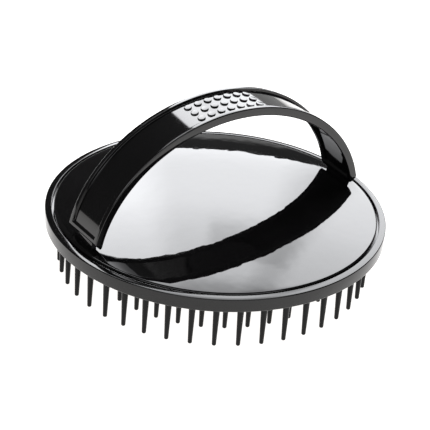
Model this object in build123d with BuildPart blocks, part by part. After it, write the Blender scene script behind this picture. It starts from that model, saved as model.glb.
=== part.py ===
"""Palm-held curry comb: a round pin tray, a domed gloss cover and a rigid arched handle.

Millimetres, +Z up. The origin is on the resting plane, under the centre of the disc.
The handle spans the disc along X, and its grip is as wide as handle_width along Y.
"""
from build123d import *
from math import cos, radians, sin, sqrt
import os

# ---- driving dimensions -------------------------------------------------------------
disc_diameter = 90.0        # outside of the side wall
pin_length = 12.4           # resting plane to the underside of the tray
wall_height = 3.9           # underside of the tray to the top of its rim
dome_radius = 245.0         # crown of the cover
handle_width = 13.4
handle_top = 48.3           # overall height of the comb
handle_span = 84.0          # widest outside measure of the arch

# ---- pin tray -----------------------------------------------------------------------
disc_radius = disc_diameter / 2
floor_thickness = 1.6
rim_width = 1.8             # radial width of the rim around the cover
rim_drop = 0.25             # how far the rim slopes down to its outer edge
edge_round = 0.7            # outer top edge of the side wall
lower_edge_round = 0.4      # outer bottom edge of the side wall
ledge_width = 1.3           # step that the cover sits on
ledge_height = 2.4          # above the underside of the tray

tray_bottom = pin_length
floor_top = tray_bottom + floor_thickness
ledge_top = tray_bottom + ledge_height
rim_top = tray_bottom + wall_height
rim_inner_radius = disc_radius - rim_width
ledge_inner_radius = rim_inner_radius - ledge_width

# ---- pins ---------------------------------------------------------------------------
ring_pitch = 8.2            # from one ring of pins to the next
outer_ring_radius = 40.7
pins_in_rings = (42, 34, 26, 18, 9)
ring_starts = (-2.9, -1.5, 0, 4.5, 0)   # degrees from +X to the first pin of each ring
pin_tip_radius = 0.57
pin_tip_flat = 0.2          # radius of the moulded flat that a pin stands on
pin_tip_height = 0.45       # height of the rounded tip
pin_root_radius = 0.92
root_flare = 0.35           # concave fillet where the pin meets the tray

# ---- cover --------------------------------------------------------------------------
groove_width = 0.6          # shadow gap between the rim and the cover
cover_thickness = 1.5
cover_bevel = 0.3
cover_edge_top = rim_top + 0.2
cover_radius = rim_inner_radius - groove_width
crown_edge_radius = cover_radius - cover_bevel

# ---- pegs of the cover and bosses of the tray ---------------------------------------
peg_circle_radius = 25.4
peg_count = 6
peg_radius = 1.2
peg_end = floor_top + 0.7
boss_radius = 2.3
peg_clearance = 0.05
first_peg_angle = 30        # degrees from +X
boss_gap = 0.1              # between a boss and the cover's inner face

# ---- handle -------------------------------------------------------------------------
arch_base = 12.4            # height of the centre of both ellipses
grip_thickness = 2.45       # at the crown
leg_thickness = 2.3         # at the feet
foot_inner = 17.5           # the foot's sloping end face: height of its inner edge
foot_outer = 19.5           # and of its outer edge
rib_width = 1.3             # edge ribs on the outer face
outer_recess = 0.75
inner_recess = 0.75
ramp_low = 20.4             # lower end of the ramp that closes the outer panel
ramp_high = 21.4
inner_panel_end = 20.6
sketch_margin = 1.0         # how far cutting outlines reach past the arch
foot_corner = 1.2
edge_soften = 0.3

arch_half_span = handle_span / 2
arch_rise = handle_top - arch_base
inner_half_span = arch_half_span - leg_thickness
inner_rise = arch_rise - grip_thickness
web_half_span = arch_half_span - outer_recess
web_rise = arch_rise - outer_recess

# ---- tabs of the handle and slots of the cover --------------------------------------
tab_width = 8.6
tab_thickness = 1.4
tab_outer = 40.8            # distance of the tab's outer face from the centre
tab_end = floor_top + 0.25
barb_reach = 0.6
barb_height = 0.9
barb_land = 0.2             # upright part of the barb's edge
slot_clearance = 0.1
slot_depth = 8.0            # cuts from inside the tray up through the crown
tab_inner = tab_outer - tab_thickness

# ---- grip studs ---------------------------------------------------------------------
stud_radius = 1.05
stud_height = 0.35          # above the floor of the outer panel
stud_root = 0.3             # below it
stud_draft = 8              # degrees
stud_row_pitch = 3.2
stud_rows = 3
stud_columns = 7
stud_column_pitch = 3.0


def crown_height(radius):
    """Height of the cover's outer face at this distance from the centre."""
    sphere_centre = cover_edge_top - sqrt(dome_radius**2 - crown_edge_radius**2)
    return sphere_centre + sqrt(dome_radius**2 - radius**2)


def under_height(radius):
    """Height of the cover's inner face, which is concentric with the outer one."""
    inner_radius = dome_radius - cover_thickness
    return crown_height(0) - dome_radius + sqrt(inner_radius**2 - radius**2)


def ring_points(radius, count, start):
    """Centres of a ring of pins, with the first one start degrees from the +X axis."""
    angles = [radians(start + 360 * i / count) for i in range(count)]
    return [(radius * cos(angle), radius * sin(angle)) for angle in angles]


def arch_height(half_span, rise, along):
    """Height of an arch ellipse at this X."""
    return arch_base + rise * sqrt(1 - (along / half_span) ** 2)


def arch_reach(half_span, rise, height):
    """Positive X of an arch ellipse at this height."""
    return half_span * sqrt(1 - ((height - arch_base) / rise) ** 2)

# ---- tray: floor, side wall, rim, ledge and bosses ----------------------------------
with BuildPart() as pin_tray:
    with BuildSketch(Plane.XZ):
        with BuildLine():
            Polyline(
                (0, tray_bottom),
                (disc_radius, tray_bottom),
                (disc_radius, rim_top - rim_drop),
                (rim_inner_radius, rim_top),
                (rim_inner_radius, ledge_top),
                (ledge_inner_radius, ledge_top),
                (ledge_inner_radius, floor_top),
                (0, floor_top),
                close=True,
            )
        make_face()
    revolve(axis=Axis.Z)
    outer_rings = pin_tray.edges().filter_by(GeomType.CIRCLE).filter_by(
        lambda edge: abs(edge.radius - disc_radius) < 0.01
    )
    fillet(outer_rings.sort_by(Axis.Z)[-1], radius=edge_round)
    lower_ring = pin_tray.edges().filter_by(GeomType.CIRCLE).filter_by(
        lambda edge: abs(edge.radius - disc_radius) < 0.01
    ).sort_by(Axis.Z)[0]
    fillet(lower_ring, radius=lower_edge_round)
    boss_top = under_height(peg_circle_radius + boss_radius) - boss_gap
    with BuildSketch(Plane.XY.offset(floor_top)):
        with PolarLocations(peg_circle_radius, peg_count, start_angle=first_peg_angle):
            Circle(boss_radius)
            Circle(peg_radius + peg_clearance, mode=Mode.SUBTRACT)
    extrude(amount=boss_top - floor_top)
pin_tray.part.label = "pin_tray"

# ---- pins: one node for each ring ---------------------------------------------------
with BuildPart() as one_pin:
    with BuildSketch(Plane.XZ):
        with BuildLine():
            flat_end = (pin_tip_flat, 0)
            tip_shoulder = (pin_tip_radius, pin_tip_height)
            flare_start = (pin_root_radius, tray_bottom - root_flare)
            flare_end = (pin_root_radius + root_flare, tray_bottom)
            Line((0, 0), flat_end)
            TangentArc(flat_end, tip_shoulder, tangent=(1, 0.1))
            Line(tip_shoulder, flare_start)
            TangentArc(flare_start, flare_end, tangent=(0, 1))
            Line(flare_end, (0, tray_bottom))
            Line((0, tray_bottom), (0, 0))
        make_face()
    revolve(axis=Axis.Z)

pin_nodes = {}
for ring_index, pin_count in enumerate(pins_in_rings):
    ring_radius = outer_ring_radius - ring_index * ring_pitch
    with BuildPart() as ring:
        with Locations(*ring_points(ring_radius, pin_count, ring_starts[ring_index])):
            add(one_pin.part)
    pin_nodes[f"pins_ring_{ring_index + 1}"] = ring.part

# ---- cover: domed shell with a bevelled edge, two tab slots and six pegs ------------
with BuildPart() as top_cover:
    with BuildSketch(Plane.XZ):
        with BuildLine():
            crown, crown_middle, crown_edge = [
                (radius, crown_height(radius)) for radius in (0, crown_edge_radius / 2, crown_edge_radius)
            ]
            under_edge, under_middle, under_crown = [
                (radius, under_height(radius)) for radius in (ledge_inner_radius, ledge_inner_radius / 2, 0)
            ]
            ThreePointArc(crown, crown_middle, crown_edge)
            Polyline(
                crown_edge,
                (cover_radius, cover_edge_top - cover_bevel),
                (cover_radius, ledge_top),
                (ledge_inner_radius, ledge_top),
                under_edge,
            )
            ThreePointArc(under_edge, under_middle, under_crown)
            Line(under_crown, crown)
        make_face()
    revolve(axis=Axis.Z)
    slot_middle = tab_outer - tab_thickness / 2
    with BuildSketch(Plane.XY.offset(floor_top)):
        with Locations((slot_middle, 0), (-slot_middle, 0)):
            Rectangle(tab_thickness + 2 * slot_clearance, tab_width + 2 * slot_clearance)
    extrude(amount=slot_depth, mode=Mode.SUBTRACT)
    peg_top = under_height(peg_circle_radius) + cover_thickness / 2
    with BuildSketch(Plane.XY.offset(peg_end)):
        with PolarLocations(peg_circle_radius, peg_count, start_angle=first_peg_angle):
            Circle(peg_radius)
    extrude(amount=peg_top - peg_end)
top_cover.part.label = "top_cover"

# ---- handle: arch of I section, closed feet, tabs with barbs, grip studs ------------
panel_half_width = handle_width / 2 - rib_width
far_out = disc_diameter
with BuildPart() as handle:
    with BuildSketch(Plane.XZ):
        with Locations((0, arch_base)):
            Ellipse(arch_half_span, arch_rise)
            Ellipse(inner_half_span, inner_rise, mode=Mode.SUBTRACT)
        foot_outer_x = arch_reach(arch_half_span, arch_rise, foot_outer)
        foot_inner_x = arch_reach(inner_half_span, inner_rise, foot_inner)
        with BuildLine():
            Polyline(
                (-far_out, -far_out),
                (far_out, -far_out),
                (far_out, foot_outer),
                (foot_outer_x, foot_outer),
                (foot_inner_x, foot_inner),
                (-foot_inner_x, foot_inner),
                (-foot_outer_x, foot_outer),
                (-far_out, foot_outer),
                close=True,
            )
        make_face(mode=Mode.SUBTRACT)
    extrude(amount=handle_width / 2, both=True)
    fillet(handle.edges().filter_by(GeomType.ELLIPSE), radius=edge_soften)
    corner_side = handle_width / 2
    with BuildSketch(Plane.YZ):
        with Locations((corner_side, foot_inner), (-corner_side, foot_inner)):
            Rectangle(2 * foot_corner, 2 * foot_corner)
        rounding_side = corner_side - foot_corner
        rounding_height = foot_inner + foot_corner
        with Locations((rounding_side, rounding_height), (-rounding_side, rounding_height)):
            Circle(foot_corner, mode=Mode.SUBTRACT)
    extrude(amount=far_out, both=True, mode=Mode.SUBTRACT)

    # outer panel, closed above each foot by a ramp
    with BuildSketch(Plane.XZ):
        with Locations((0, arch_base)):
            Ellipse(arch_half_span + sketch_margin, arch_rise + sketch_margin)
            Ellipse(web_half_span, web_rise, mode=Mode.SUBTRACT)
        ramp_start = arch_reach(arch_half_span, arch_rise, ramp_low)
        ramp_end = arch_reach(web_half_span, web_rise, ramp_high)
        with BuildLine():
            Polyline(
                (-far_out, 0),
                (far_out, 0),
                (far_out, ramp_low),
                (ramp_start, ramp_low),
                (ramp_end, ramp_high),
                (-ramp_end, ramp_high),
                (-ramp_start, ramp_low),
                (-far_out, ramp_low),
                close=True,
            )
        make_face(mode=Mode.SUBTRACT)
    extrude(amount=panel_half_width, both=True, mode=Mode.SUBTRACT)

    # inner panel, closed above each foot by a square step
    with BuildSketch(Plane.XZ):
        with Locations((0, arch_base)):
            Ellipse(inner_half_span + inner_recess, inner_rise + inner_recess)
            Ellipse(inner_half_span - sketch_margin, inner_rise - sketch_margin, mode=Mode.SUBTRACT)
        with Locations((0, inner_panel_end - far_out / 2)):
            Rectangle(2 * far_out, far_out, mode=Mode.SUBTRACT)
    extrude(amount=panel_half_width, both=True, mode=Mode.SUBTRACT)

    # tabs with an inward barb at each end
    with BuildSketch(Plane.XZ):
        for side in (-1, 1):
            with BuildLine():
                Polyline(
                    (side * tab_outer, foot_outer),
                    (side * tab_outer, tab_end),
                    (side * tab_inner, tab_end),
                    (side * (tab_inner - barb_reach), tab_end + barb_height - barb_land),
                    (side * (tab_inner - barb_reach), tab_end + barb_height),
                    (side * tab_inner, tab_end + barb_height),
                    (side * tab_inner, foot_outer),
                    close=True,
                )
            make_face()
    extrude(amount=tab_width / 2, both=True)

    # flat round studs on the crown of the grip, each column square to the arch
    for column in range(stud_columns):
        along = (column - (stud_columns - 1) / 2) * stud_column_pitch
        web_top = arch_height(web_half_span, web_rise, along)
        outward = Vector(along / web_half_span**2, 0, (web_top - arch_base) / web_rise**2)
        stud_plane = Plane(origin=(along, 0, web_top), x_dir=(0, 1, 0), z_dir=outward)
        with BuildSketch(stud_plane.offset(-stud_root)):
            with GridLocations(stud_row_pitch, stud_row_pitch, stud_rows, 1):
                Circle(stud_radius)
        extrude(amount=stud_root + stud_height, taper=stud_draft)
handle.part.label = "handle"

# ---- export -------------------------------------------------------------------------
os.makedirs("parts", exist_ok=True)
export_step(pin_tray.part, "parts/pin_tray.step")
export_step(top_cover.part, "parts/top_cover.step")
export_step(handle.part, "parts/handle.step")
for node_name, node_part in pin_nodes.items():
    node_part.label = node_name
    export_step(node_part, f"parts/{node_name}.step")

grip_under = handle_top - grip_thickness
print("crown of the cover", round(crown_height(0), 2))
print("clearance under the grip", round(grip_under - crown_height(0), 2))
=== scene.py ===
"""Palm-held curry comb in moulded black plastic, dressed for a soft studio picture."""
from math import asin, cos, pi, radians, sin, sqrt, tan

import bmesh
import bpy
from mathutils import Matrix, Vector


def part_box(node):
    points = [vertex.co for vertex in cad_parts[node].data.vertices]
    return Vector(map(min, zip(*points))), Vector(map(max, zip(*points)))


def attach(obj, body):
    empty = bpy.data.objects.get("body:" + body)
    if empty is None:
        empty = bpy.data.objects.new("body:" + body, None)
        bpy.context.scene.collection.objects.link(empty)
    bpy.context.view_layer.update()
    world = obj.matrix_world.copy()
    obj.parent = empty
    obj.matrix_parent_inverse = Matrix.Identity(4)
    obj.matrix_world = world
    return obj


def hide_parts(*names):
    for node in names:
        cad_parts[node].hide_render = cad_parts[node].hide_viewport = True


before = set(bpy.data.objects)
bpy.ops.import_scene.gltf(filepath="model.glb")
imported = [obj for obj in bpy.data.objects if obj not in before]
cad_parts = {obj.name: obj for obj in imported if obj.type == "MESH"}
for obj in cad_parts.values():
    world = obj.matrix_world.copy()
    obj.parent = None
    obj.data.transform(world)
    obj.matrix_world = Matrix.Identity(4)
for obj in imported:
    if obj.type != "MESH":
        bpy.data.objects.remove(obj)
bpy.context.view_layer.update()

MM = 0.001
TINY = 1e-6

# ---- sizes read from the frame, in millimetres --------------------------------------


def node_box(node):
    low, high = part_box(node)
    return Vector(low) / MM, Vector(high) / MM


tray_low, tray_high = node_box("pin_tray")
_, cover_high = node_box("top_cover")
_, handle_high = node_box("handle")
disc_radius = tray_high.x
tray_bottom = tray_low.z
cover_radius = cover_high.x
crown_height = cover_high.z
handle_half_width = handle_high.y
handle_top = handle_high.z

# ---- sizes of the mouldings, in millimetres -----------------------------------------
WALL_HEIGHT = 3.9
RIM_WIDTH = 1.8
RIM_DROP = 0.25
RIM_ROUND = 0.3
RIM_INNER_ROUND = 0.12
LOWER_ROUND = 0.4
LEDGE_HEIGHT = 2.4
LEDGE_WIDTH = 1.3
LEDGE_ROUND = 0.1
FLOOR_THICKNESS = 1.6

DOME_RADIUS = 245.0
COVER_THICKNESS = 1.5
COVER_BEVEL = 0.3
CROWN_EDGE_ROUND = 0.5
BEVEL_ROUND = 0.35
CROWN_LEAD = 1              # how far inside the crown's edge its rounding is led in
CROWN_RINGS = 42
UNDER_RINGS = 20

ARCH_BASE = 12.4
ARCH_HALF_SPAN = 42.0
GRIP_THICKNESS = 2.45
LEG_THICKNESS = 2.3
FOOT_INNER = 17.5
FOOT_OUTER = 19.5
FOOT_CORNER = 1.2
RIB_WIDTH = 1.3
RIB_ROUND = 0.18
WALL_DRAFT = 0.12
FLOOR_FILLET = 0.2
EDGE_ROUND = 0.35
EDGE_STEPS = 6
OUTER_RECESS = 0.75
INNER_RECESS = 0.75
PANEL_MARGIN = 1            # from a rib to the first of the panel's evenly spaced columns
RAMP_LOW = 20.4             # the outer panel's floor rises to the foot between these heights
RAMP_HIGH = 21.4
INNER_PANEL_END = 20.6
INNER_PANEL_RAMP = 0.3

STUD_RADIUS = 1.05
STUD_TOP_RADIUS = 0.98
STUD_HEIGHT = 0.35
STUD_EDGE = 0.12
STUD_FOOT_ROUND = 0.06
STUD_SKIRT = 0.12           # how far a stud widens just under the panel's floor
STUD_SKIRT_DEPTH = 0.03
STUD_ROOT = 0.3
STUD_ROW_PITCH = 3.2
STUD_ROWS = 3
STUD_COLUMNS = 7
STUD_COLUMN_PITCH = 3.0

TAB_OUTER = 40.8
TAB_THICKNESS = 1.4
TAB_HALF_WIDTH = 4.3
TAB_END = 14.25
TAB_END_ROUND = 0.1
TAB_ROUND = 0.05
TAB_EDGE = 0.12
TAB_SEAM = 0.5              # where the closed outline of a tab starts, in from its outer face
TAB_SEAM_GAP = 0.1
BARB_REACH = 0.6
BARB_HEIGHT = 0.9
BARB_NOSE = 0.2

rim_top = tray_bottom + WALL_HEIGHT
rim_inner = disc_radius - RIM_WIDTH
ledge_inner = rim_inner - LEDGE_WIDTH
ledge_top = tray_bottom + LEDGE_HEIGHT
floor_top = tray_bottom + FLOOR_THICKNESS
crown_edge = cover_radius - COVER_BEVEL
arch_rise = handle_top - ARCH_BASE
inner_half_span = ARCH_HALF_SPAN - LEG_THICKNESS
inner_rise = arch_rise - GRIP_THICKNESS
outer_start = asin((FOOT_OUTER - ARCH_BASE) / arch_rise)
inner_start = asin((FOOT_INNER - ARCH_BASE) / inner_rise)

# ---- mesh helpers -------------------------------------------------------------------
MERGE_DISTANCE = 1e-4


def rounded_path(corners, steps):
    """Points along a path of (x, z, radius) corners, with each corner an arc of that radius."""
    points = []
    last = len(corners) - 1
    for index, (x, z, radius) in enumerate(corners):
        here = Vector((x, z))
        if radius == 0 or index in (0, last):
            points.append(here)
            continue
        before = (Vector(corners[index - 1][:2]) - here).normalized()
        after = (Vector(corners[index + 1][:2]) - here).normalized()
        half_angle = before.angle(after) / 2
        reach = radius / tan(half_angle)
        centre = here + (before + after).normalized() * (radius / sin(half_angle))
        start = here + before * reach - centre
        end = here + after * reach - centre
        turn = start.angle_signed(end)
        for step in range(steps + 1):
            angle = -turn * step / steps
            points.append(centre + Matrix.Rotation(angle, 2) @ start)
    return points


def new_mesh_object(name, bm, sharp_degrees=35):
    """Joins what touches, goes from millimetres to metres and puts the mesh in the scene."""
    bmesh.ops.remove_doubles(bm, verts=bm.verts, dist=MERGE_DISTANCE)
    bmesh.ops.recalc_face_normals(bm, faces=bm.faces)
    bmesh.ops.scale(bm, vec=(MM, MM, MM), verts=bm.verts)
    mesh = bpy.data.meshes.new(name)
    bm.to_mesh(mesh)
    bm.free()
    mesh.shade_smooth()
    mesh.set_sharp_from_angle(angle=radians(sharp_degrees))
    piece = bpy.data.objects.new(name, mesh)
    bpy.context.scene.collection.objects.link(piece)
    return piece


def loft(bm, loops, closed=True, capped=False):
    """Quads between consecutive loops of points that all have the same length."""
    rows = [[bm.verts.new(point) for point in loop] for loop in loops]
    for lower, upper in zip(rows, rows[1:]):
        count = len(lower)
        for index in range(count if closed else count - 1):
            following = (index + 1) % count
            bm.faces.new((lower[index], lower[following], upper[following], upper[index]))
    if capped:
        bm.faces.new(rows[0][::-1])
        bm.faces.new(rows[-1])


def lathe(bm, profile, segments, transform=Matrix.Identity(4)):
    """Turns a profile of (radius, height) points round Z. Points on the axis become one vertex."""
    loops = []
    for radius, height in profile:
        if radius < TINY:
            loops.append([bm.verts.new(transform @ Vector((0, 0, height)))])
            continue
        angles = [2 * pi * i / segments for i in range(segments)]
        loops.append([
            bm.verts.new(transform @ Vector((radius * cos(angle), radius * sin(angle), height)))
            for angle in angles
        ])
    for lower, upper in zip(loops, loops[1:]):
        for i in range(segments):
            j = (i + 1) % segments
            if len(lower) == 1:
                bm.faces.new((lower[0], upper[j], upper[i]))
            elif len(upper) == 1:
                bm.faces.new((lower[i], lower[j], upper[0]))
            else:
                bm.faces.new((lower[i], lower[j], upper[j], upper[i]))


# ---- materials ----------------------------------------------------------------------
BLACK = (0.0035, 0.0034, 0.0036)
SHADES_OF_BLACK = (0.6, 1.5)
PLASTIC_IOR = 1.5
CLOUD_SCALE = 90
CLOUD_DETAIL = 5
FLOW_DETAIL = 1.5
HAIR_SCALE = 700
HAIR_DETAIL = 2
HAIR_STRETCH = (1, 14, 3)
HAIR_TURN = (0.2, 0.1, 0.6)


class Shading:
    """Short ways to add nodes to one material or to the world."""

    def __init__(self, tree):
        self.nodes = tree.nodes
        self.links = tree.links

    def plug(self, value, socket):
        if isinstance(value, (int, float)):
            socket.default_value = value
        else:
            self.links.new(value, socket)

    def calc(self, operation, *values):
        node = self.nodes.new("ShaderNodeMath")
        node.operation = operation
        for value, socket in zip(values, node.inputs):
            self.plug(value, socket)
        return node.outputs[0]

    def ramp(self, value, low, high, at_low=0.0, at_high=1.0, shape="SMOOTHSTEP"):
        """at_low below low, at_high above high, with a change between them that is smooth or LINEAR."""
        node = self.nodes.new("ShaderNodeMapRange")
        node.interpolation_type = shape
        self.plug(value, node.inputs["Value"])
        node.inputs["From Min"].default_value = low
        node.inputs["From Max"].default_value = high
        node.inputs["To Min"].default_value = at_low
        node.inputs["To Max"].default_value = at_high
        return node.outputs["Result"]

    def noise(self, vector, scale, detail):
        node = self.nodes.new("ShaderNodeTexNoise")
        node.inputs["Scale"].default_value = scale
        node.inputs["Detail"].default_value = detail
        self.links.new(vector, node.inputs["Vector"])
        return node.outputs["Fac"]

    def bump(self, height, distance):
        node = self.nodes.new("ShaderNodeBump")
        node.inputs["Strength"].default_value = 1
        node.inputs["Distance"].default_value = distance
        self.links.new(height, node.inputs["Height"])
        return node

    def position(self):
        return self.nodes.new("ShaderNodeTexCoord").outputs["Object"]

    def split(self, vector):
        node = self.nodes.new("ShaderNodeSeparateXYZ")
        self.links.new(vector, node.inputs[0])
        return node.outputs


def moulded_black(name, roughness, roughness_spread, ripple, ripple_size, scratch, specular):
    """Black injection-moulded plastic: uneven gloss, flow ripple and hairline scratches.

    ripple, ripple_size and scratch are in millimetres.
    """
    material = bpy.data.materials.new(name)
    material.use_nodes = True
    shader = material.node_tree.nodes["Principled BSDF"]
    shader.inputs["IOR"].default_value = PLASTIC_IOR
    shader.inputs["Specular IOR Level"].default_value = specular

    shading = Shading(material.node_tree)
    position = shading.position()
    cloud = shading.noise(position, CLOUD_SCALE, CLOUD_DETAIL)
    colour = shading.nodes.new("ShaderNodeValToRGB")
    for element, shade in zip(colour.color_ramp.elements, SHADES_OF_BLACK):
        element.color = (*[channel * shade for channel in BLACK], 1)
    shading.links.new(cloud, colour.inputs["Fac"])
    shading.links.new(colour.outputs["Color"], shader.inputs["Base Color"])
    gloss = shading.ramp(
        cloud, 0, 1, max(roughness - roughness_spread, 0), roughness + roughness_spread, "LINEAR")
    shading.links.new(gloss, shader.inputs["Roughness"])

    flow = shading.noise(position, 1 / (ripple_size * MM), FLOW_DETAIL)
    flow_bump = shading.bump(flow, ripple * MM)
    stretch = shading.nodes.new("ShaderNodeMapping")
    stretch.inputs["Scale"].default_value = HAIR_STRETCH
    stretch.inputs["Rotation"].default_value = HAIR_TURN
    shading.links.new(position, stretch.inputs["Vector"])
    hair = shading.noise(stretch.outputs["Vector"], HAIR_SCALE, HAIR_DETAIL)
    hair_bump = shading.bump(hair, scratch * MM)
    shading.links.new(flow_bump.outputs["Normal"], hair_bump.inputs["Normal"])
    shading.links.new(hair_bump.outputs["Normal"], shader.inputs["Normal"])
    return material


cover_material = moulded_black(
    "cover_gloss_black", roughness=0.025, roughness_spread=0.015,
    ripple=0.03, ripple_size=5, scratch=0.00003, specular=0.5)
handle_material = moulded_black(
    "handle_gloss_black", roughness=0.06, roughness_spread=0.03,
    ripple=0.0006, ripple_size=4, scratch=0.00008, specular=0.5)
tray_material = moulded_black(
    "tray_gloss_black", roughness=0.07, roughness_spread=0.03,
    ripple=0.0010, ripple_size=4, scratch=0.00015, specular=0.4)
pin_material = moulded_black(
    "pin_satin_black", roughness=0.16, roughness_spread=0.05,
    ripple=0.0010, ripple_size=1.2, scratch=0.0003, specular=0.2)

# ---- tray ---------------------------------------------------------------------------


def make_tray():
    """Round tray with a sloping rim, a ledge for the cover and a floor."""
    bm = bmesh.new()
    profile = rounded_path([
        (0, tray_bottom, 0),
        (disc_radius, tray_bottom, LOWER_ROUND),
        (disc_radius, rim_top - RIM_DROP, RIM_ROUND),
        (rim_inner, rim_top, RIM_INNER_ROUND),
        (rim_inner, ledge_top, LEDGE_ROUND),
        (ledge_inner, ledge_top, LEDGE_ROUND),
        (ledge_inner, floor_top, LEDGE_ROUND),
        (0, floor_top, 0),
    ], steps=8)
    lathe(bm, profile, segments=320)
    return new_mesh_object("tray_shell", bm)


# ---- cover --------------------------------------------------------------------------


def dome_height(radius, depth=0):
    """Height of the crown at this radius, or of the surface this far under it."""
    centre = crown_height - DOME_RADIUS
    return centre + sqrt((DOME_RADIUS - depth)**2 - radius**2)


def make_cover():
    """Domed cover without slots: the tabs of the handle cross its surface."""
    bm = bmesh.new()
    edge_top = dome_height(crown_edge)
    crown_radii = [crown_edge * i / CROWN_RINGS for i in range(CROWN_RINGS)]
    crown = [(radius, dome_height(radius)) for radius in crown_radii]
    lead_radius = crown_edge - CROWN_LEAD
    edge = rounded_path([
        (lead_radius, dome_height(lead_radius), 0),
        (crown_edge, edge_top, CROWN_EDGE_ROUND),
        (cover_radius, edge_top - COVER_BEVEL, BEVEL_ROUND),
        (cover_radius, ledge_top, 0),
        (ledge_inner, ledge_top, 0),
    ], steps=5)[1:]
    under_radii = [ledge_inner * i / UNDER_RINGS for i in range(UNDER_RINGS, -1, -1)]
    under = [(radius, dome_height(radius, COVER_THICKNESS)) for radius in under_radii]
    lathe(bm, crown + [tuple(point) for point in edge] + under, segments=384)
    return new_mesh_object("gloss_cover", bm)


# ---- handle -------------------------------------------------------------------------
# the closely spaced cross-sections at each foot, ramp and panel end
FOOT_RISES = (0, 0.01, 0.03, 0.06, 0.1, 0.15, 0.2, 0.25, 0.3, 0.35, 0.5, 0.7)
RAMP_HEIGHTS = (RAMP_LOW - 0.05, RAMP_LOW, RAMP_HIGH - 0.1, RAMP_HIGH, RAMP_HIGH + 0.1)
PANEL_END_SHARES = (0, 0.5, 1)
OTHER_HEIGHTS = (21.1, 22, 23)
MIDDLE_STATIONS = 200


def arch_pair(share):
    """Outer and inner point of the arch at this share of its length from the right foot to the left."""
    outer_angle = outer_start + (pi - 2 * outer_start) * share
    inner_angle = inner_start + (pi - 2 * inner_start) * share
    outer = Vector((ARCH_HALF_SPAN * cos(outer_angle), 0, ARCH_BASE + arch_rise * sin(outer_angle)))
    inner = Vector((inner_half_span * cos(inner_angle), 0, ARCH_BASE + inner_rise * sin(inner_angle)))
    return outer, inner


def panel_columns(half_width, recess):
    """Half of a face with a sunk panel: (y, fixed depth, share of the panel's depth) from edge to middle."""
    rib_end = half_width - RIB_WIDTH
    columns = []
    for step in range(EDGE_STEPS + 1):
        angle = pi / 2 * step / EDGE_STEPS
        columns.append((half_width - EDGE_ROUND + EDGE_ROUND * cos(angle), EDGE_ROUND * (1 - sin(angle)), 0))
    wall = rounded_path([
        (rib_end + RIB_ROUND * 2, 0, 0),
        (rib_end, 0, RIB_ROUND),
        (rib_end - WALL_DRAFT, recess, FLOOR_FILLET),
        (rib_end - WALL_DRAFT - FLOOR_FILLET * 2, recess, 0),
    ], steps=5)
    columns += [(y, 0, depth / recess) for y, depth in wall]
    columns += [((rib_end - PANEL_MARGIN) * share, 0, 1) for share in (0.75, 0.5, 0.25, 0)]
    return columns


outer_columns = panel_columns(handle_half_width, OUTER_RECESS)
inner_columns = panel_columns(handle_half_width, INNER_RECESS)


def clamped_share(value, low, high):
    """0 below low, 1 above high, straight between them."""
    return min(max((value - low) / (high - low), 0), 1)


def handle_stations():
    """Shares of the arch's length, close together at the feet, the ramps and the panel ends."""
    heights = [FOOT_OUTER + rise for rise in FOOT_RISES]
    heights += [INNER_PANEL_END + INNER_PANEL_RAMP * share for share in PANEL_END_SHARES]
    heights += [*RAMP_HEIGHTS, *OTHER_HEIGHTS]
    foot = []
    for height in sorted(heights):
        angle = asin((height - ARCH_BASE) / arch_rise)
        foot.append((angle - outer_start) / (pi - 2 * outer_start))
    last = foot[-1]
    middle = [last + (1 - 2 * last) * i / MIDDLE_STATIONS for i in range(1, MIDDLE_STATIONS)]
    return foot + middle + [1 - share for share in reversed(foot)]


def handle_loop(share):
    """Closed cross-section of the arch, with rounded edges at the ends and rounded corners at the feet."""
    outer, inner = arch_pair(share)
    inward = (inner - outer).normalized()
    thickness = (inner - outer).length
    outer_depth = OUTER_RECESS * clamped_share(outer.z, RAMP_LOW, RAMP_HIGH)
    inner_depth = INNER_RECESS * clamped_share(outer.z, INNER_PANEL_END, INNER_PANEL_END + INNER_PANEL_RAMP)
    rise = outer.z - FOOT_OUTER
    pull = EDGE_ROUND - sqrt(max(EDGE_ROUND**2 - max(EDGE_ROUND - rise, 0)**2, 0))

    def place(y, depth):
        point = outer + inward * depth
        below = max(FOOT_CORNER - (point.z - FOOT_INNER), 0)
        narrow = FOOT_CORNER - sqrt(max(FOOT_CORNER**2 - below**2, 0))
        point.y = y * (handle_half_width - narrow) / handle_half_width
        return point

    outer_half = [(y, pull + fixed + share_of * outer_depth) for y, fixed, share_of in outer_columns]
    inner_half = [
        (y, thickness - pull - fixed - share_of * inner_depth) for y, fixed, share_of in inner_columns
    ]
    half = outer_half[::-1] + inner_half
    other = [(-y, depth) for y, depth in half[::-1] if y > TINY]
    return [place(y, depth) for y, depth in half + other]


def add_studs(bm):
    """Rows of flat studs that stand on the floor of the outer panel, at the top of the arch."""
    web_half_span = ARCH_HALF_SPAN - OUTER_RECESS
    web_rise = arch_rise - OUTER_RECESS
    profile = [tuple(point) for point in rounded_path([
        (0, STUD_HEIGHT, 0),
        (STUD_TOP_RADIUS, STUD_HEIGHT, STUD_EDGE),
        (STUD_RADIUS, 0, STUD_FOOT_ROUND),
        (STUD_RADIUS + STUD_SKIRT, -STUD_SKIRT_DEPTH, 0),
        (0, -STUD_ROOT, 0),
    ], steps=5)]
    for column in range(STUD_COLUMNS):
        along = (column - (STUD_COLUMNS - 1) / 2) * STUD_COLUMN_PITCH
        height = ARCH_BASE + web_rise * sqrt(1 - (along / web_half_span)**2)
        normal = Vector((along / web_half_span**2, 0, (height - ARCH_BASE) / web_rise**2)).normalized()
        turn = Vector((0, 0, 1)).rotation_difference(normal).to_matrix().to_4x4()
        for row in range(STUD_ROWS):
            across = (row - (STUD_ROWS - 1) / 2) * STUD_ROW_PITCH
            lathe(bm, profile, segments=32, transform=Matrix.Translation((along, across, height)) @ turn)


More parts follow.
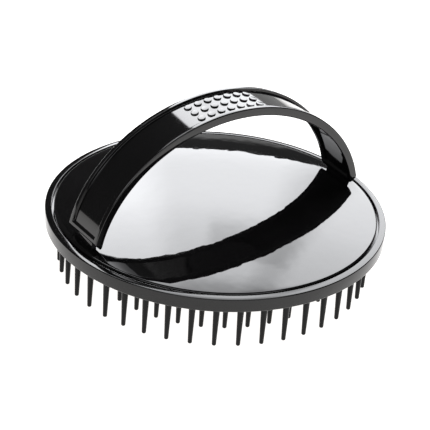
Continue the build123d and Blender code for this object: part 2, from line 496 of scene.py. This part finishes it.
def add_tab(bm, side):
    """The narrow tab with a barb that goes down through the cover under one foot."""
    tab_inner = TAB_OUTER - TAB_THICKNESS
    barb_tip = tab_inner - BARB_REACH
    barb_top = TAB_END + BARB_HEIGHT
    profile = rounded_path([
        (TAB_OUTER - TAB_SEAM, FOOT_OUTER, 0),
        (TAB_OUTER, FOOT_OUTER, TAB_ROUND),
        (TAB_OUTER, TAB_END, TAB_END_ROUND),
        (tab_inner, TAB_END, TAB_END_ROUND),
        (barb_tip, barb_top - BARB_NOSE, TAB_ROUND),
        (barb_tip, barb_top, TAB_ROUND),
        (tab_inner, barb_top, TAB_ROUND),
        (tab_inner, FOOT_OUTER, TAB_ROUND),
        (TAB_OUTER - TAB_SEAM - TAB_SEAM_GAP, FOOT_OUTER, 0),
    ], steps=3)
    middle = Vector((TAB_OUTER - TAB_THICKNESS / 2, (TAB_END + FOOT_OUTER) / 2))
    shoulder = TAB_HALF_WIDTH - TAB_EDGE
    loops = []
    for y, shrink in ((-TAB_HALF_WIDTH, TAB_EDGE), (-shoulder, 0), (shoulder, 0), (TAB_HALF_WIDTH, TAB_EDGE)):
        insets = [point + (middle - point).normalized() * shrink for point in profile]
        loops.append([Vector((side * inset.x, y, inset.y)) for inset in insets])
    loft(bm, loops, capped=True)


def make_handle():
    bm = bmesh.new()
    loft(bm, [handle_loop(share) for share in handle_stations()], capped=True)
    add_studs(bm)
    for side in (-1, 1):
        add_tab(bm, side)
    return new_mesh_object("arched_handle", bm, sharp_degrees=40)


# ---- pieces -------------------------------------------------------------------------


def dress(piece, material, node):
    """Gives a piece its material and puts it in the place of one CAD node."""
    piece.data.materials.append(material)
    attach(piece, "root")
    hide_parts(node)


dress(make_tray(), tray_material, "pin_tray")
dress(make_cover(), cover_material, "top_cover")
dress(make_handle(), handle_material, "handle")
# the pins keep their shape from the frame and get only a material
for node_name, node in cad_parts.items():
    if node_name.startswith("pins_ring"):
        for material_slot in node.material_slots:
            material_slot.material = pin_material

# ---- camera -------------------------------------------------------------------------
VIEW_AZIMUTH = -35.9        # from +Y, looking across the handle with its left foot nearer
VIEW_ELEVATION = 29.46
VIEW_ROLL = 4.49
VIEW_DISTANCE = 586.0
FOCAL_IN_WIDTHS = 5.1165
TARGET_RIGHT = -0.12
TARGET_FORWARD = 4.41
TARGET_HEIGHT = 12.0

look = Matrix.Rotation(radians(VIEW_AZIMUTH), 4, "Z")
view_back = look @ Vector((0, -cos(radians(VIEW_ELEVATION)), sin(radians(VIEW_ELEVATION))))
view_right = look @ Vector((1, 0, 0))
view_up = view_back.cross(view_right)
roll = radians(VIEW_ROLL)
right = view_right * cos(roll) + view_up * sin(roll)
up = view_up * cos(roll) - view_right * sin(roll)
target = look @ Vector((TARGET_RIGHT, TARGET_FORWARD, TARGET_HEIGHT))

camera_data = bpy.data.cameras.new("camera")
camera_data.sensor_width = 36
camera_data.lens = FOCAL_IN_WIDTHS * camera_data.sensor_width
camera_data.clip_start = 0.01
camera = bpy.data.objects.new("camera", camera_data)
bpy.context.scene.collection.objects.link(camera)
camera_place = Matrix((right, up, view_back)).transposed().to_4x4()
camera_place.translation = (target + view_back * VIEW_DISTANCE) * MM
camera.matrix_world = camera_place
bpy.context.scene.camera = camera

# ---- stage and light ----------------------------------------------------------------
# The cards and the floor are turned with the camera's azimuth: their own +X is to the right of
# the view, +Y is away from it, and azimuth 0 on a card is straight behind the disc.
CARD_DISTANCE = 450         # millimetres
FLOOR_RADIUS = 640
FLOOR_BASE = (0.4, 0.4, 0.4)
FLOOR_GLOW = (1.0, 0.98, 0.955)
CARD_BASE = (0.01, 0.01, 0.01)
CARD_GLOW = (0.965, 0.975, 1.0)
CARD_STEPS = 24
MATT = 0.9

# Each ramp below is (from, to, result at from, result at to), with from and to in metres or degrees.
FLOOR_ACROSS = (-0.10, 0.10, 1.06, 1.15)
BACK_LEFT_FLANK = (-12, -5, 2.0, 0)
BACK_RIGHT_FLANK = (13, 17, 0, 2.2)
BACK_RISE = (15, 34, 5.9, 8.5)
BACK_TOP_FADE = (49.5, 56, 1, 0.55)
BACK_RIGHT_FADE = (6, 12, 1, 0.75)
SQUARE_LEFT = (-2, 0.5, 0, 1)
SQUARE_RIGHT = (12, 16, 1, 0)
SQUARE_BOTTOM = (33, 41, 0, 1)
SQUARE_TOP = (46, 47.5, 1, 0)
SQUARE_DIMMING = 1.9
LEFT_EDGE_HIGH = (30, 46, -13.6, -24)       # the azimuth where the back card starts, by elevation
LEFT_EDGE_LOW = (12, 28, 3.2, 0)
LEFT_EDGE_SOFTNESS = 0.3
SIDE_RISE = (0.345, 0.37, 3, 6)
FRONT_LEFT = (-0.34, -0.24, 0, 1)
FRONT_RIGHT = (0.24, 0.34, 1, 0)
FRONT_BOTTOM = (0.15, 0.22, 0, 1)
FRONT_TOP = (0.28, 0.34, 2.6, 0)

ROOM_DIM = 0.07
ROOM_AS_SEEN = 1.1
LOW_GLOW_SIDES = (0.8, 0.95, 0, 1)          # by the direction's part away from the view
LOW_GLOW_TOP = (0.15, 0.18, 0.5, 0)         # by the direction's upward part


def glow_material(name, base, glow, strength_of):
    """A surface that gives off light; strength_of builds the nodes for how much."""
    material = bpy.data.materials.new(name)
    material.use_nodes = True
    shader = material.node_tree.nodes["Principled BSDF"]
    shader.inputs["Base Color"].default_value = (*base, 1)
    shader.inputs["Roughness"].default_value = MATT
    shader.inputs["Emission Color"].default_value = (*glow, 1)
    shading = Shading(material.node_tree)
    shading.plug(strength_of(shading), shader.inputs["Emission Strength"])
    return material


def floor_strength(shading):
    across = shading.split(shading.position())[0]
    return shading.ramp(across, *FLOOR_ACROSS)


def back_strength(shading):
    """Brighter towards both sides, softer at the top and the bottom, with a dimmer square high up."""
    x, y, z = shading.split(shading.position())
    azimuth = shading.calc("DEGREES", shading.calc("ARCTAN2", x, y))
    sine = shading.calc("DIVIDE", z, CARD_DISTANCE * MM)
    elevation = shading.calc("DEGREES", shading.calc("ARCSINE", sine))

    flanks = shading.calc(
        "ADD", shading.ramp(azimuth, *BACK_LEFT_FLANK), shading.ramp(azimuth, *BACK_RIGHT_FLANK))
    strength = shading.calc("ADD", flanks, shading.ramp(elevation, *BACK_RISE))
    square = shading.calc(
        "MULTIPLY", shading.ramp(azimuth, *SQUARE_LEFT), shading.ramp(azimuth, *SQUARE_RIGHT))
    square = shading.calc("MULTIPLY", square, shading.ramp(elevation, *SQUARE_BOTTOM))
    square = shading.calc("MULTIPLY", square, shading.ramp(elevation, *SQUARE_TOP))
    strength = shading.calc("SUBTRACT", strength, shading.calc("MULTIPLY", square, SQUARE_DIMMING))
    strength = shading.calc("MULTIPLY", strength, shading.ramp(elevation, *BACK_TOP_FADE))
    strength = shading.calc("MULTIPLY", strength, shading.ramp(azimuth, *BACK_RIGHT_FADE))

    left_edge = shading.calc(
        "ADD", shading.ramp(elevation, *LEFT_EDGE_HIGH), shading.ramp(elevation, *LEFT_EDGE_LOW))
    past_edge = shading.calc("SUBTRACT", azimuth, left_edge)
    inside = shading.ramp(past_edge, -LEFT_EDGE_SOFTNESS, LEFT_EDGE_SOFTNESS)
    return shading.calc("MULTIPLY", strength, inside)


def side_strength(shading):
    height = shading.split(shading.position())[2]
    return shading.ramp(height, *SIDE_RISE)


def front_strength(shading):
    """Even in the middle and soft at every edge."""
    across, _, height = shading.split(shading.position())
    strength = shading.calc(
        "MULTIPLY", shading.ramp(across, *FRONT_LEFT), shading.ramp(across, *FRONT_RIGHT))
    strength = shading.calc("MULTIPLY", strength, shading.ramp(height, *FRONT_BOTTOM))
    return shading.calc("MULTIPLY", strength, shading.ramp(height, *FRONT_TOP))


def light_card(name, azimuths, elevations, strength_of):
    """A curved glowing card round the disc, between two azimuths and two elevations in degrees."""
    bm = bmesh.new()
    loops = []
    for row in range(CARD_STEPS + 1):
        elevation = radians(elevations[0] + (elevations[1] - elevations[0]) * row / CARD_STEPS)
        loop = []
        for column in range(CARD_STEPS + 1):
            azimuth = radians(azimuths[0] + (azimuths[1] - azimuths[0]) * column / CARD_STEPS)
            loop.append(CARD_DISTANCE * Vector((
                sin(azimuth) * cos(elevation), cos(azimuth) * cos(elevation), sin(elevation))))
        loops.append(loop)
    loft(bm, loops, closed=False)
    card = new_mesh_object(name, bm)
    card.matrix_world = Matrix.Translation((0, 0, tray_bottom * MM)) @ look
    card.data.materials.append(glow_material(name, CARD_BASE, CARD_GLOW, strength_of))
    card.visible_camera = False
    card.visible_shadow = False


def make_floor():
    bm = bmesh.new()
    bmesh.ops.create_circle(bm, cap_ends=True, radius=FLOOR_RADIUS, segments=96)
    floor = new_mesh_object("floor", bm)
    floor.matrix_world = look
    floor.data.materials.append(glow_material("floor_white", FLOOR_BASE, FLOOR_GLOW, floor_strength))


def make_room():
    """A pale room as the camera sees it, and a dim one for light and reflections.

    The dim one is less dim low down behind the disc.
    """
    world = bpy.data.worlds.new("studio")
    bpy.context.scene.world = world
    world.use_nodes = True
    room = Shading(world.node_tree)
    background = world.node_tree.nodes["Background"]
    background.inputs["Color"].default_value = (1, 1, 1, 1)
    toward = room.nodes.new("ShaderNodeTexCoord").outputs["Generated"]
    forward = room.nodes.new("ShaderNodeVectorMath")
    forward.operation = "DOT_PRODUCT"
    forward.inputs[1].default_value = look @ Vector((0, 1, 0))
    room.links.new(toward, forward.inputs[0])
    low_glow = room.calc(
        "MULTIPLY", room.ramp(forward.outputs["Value"], *LOW_GLOW_SIDES),
        room.ramp(room.split(toward)[2], *LOW_GLOW_TOP))
    dim = room.calc("ADD", low_glow, ROOM_DIM)
    seen = room.nodes.new("ShaderNodeLightPath").outputs["Is Camera Ray"]
    strength = room.calc("ADD", dim, room.calc("MULTIPLY", seen, ROOM_AS_SEEN))
    room.plug(strength, background.inputs["Strength"])


make_floor()
light_card("back_card", azimuths=(-24, 40), elevations=(13.8, 78), strength_of=back_strength)
light_card("side_card", azimuths=(-62, -24.5), elevations=(50, 62), strength_of=side_strength)
light_card("front_card", azimuths=(125, 235), elevations=(19, 50), strength_of=front_strength)
make_room()

bpy.context.scene.view_settings.view_transform = "Standard"
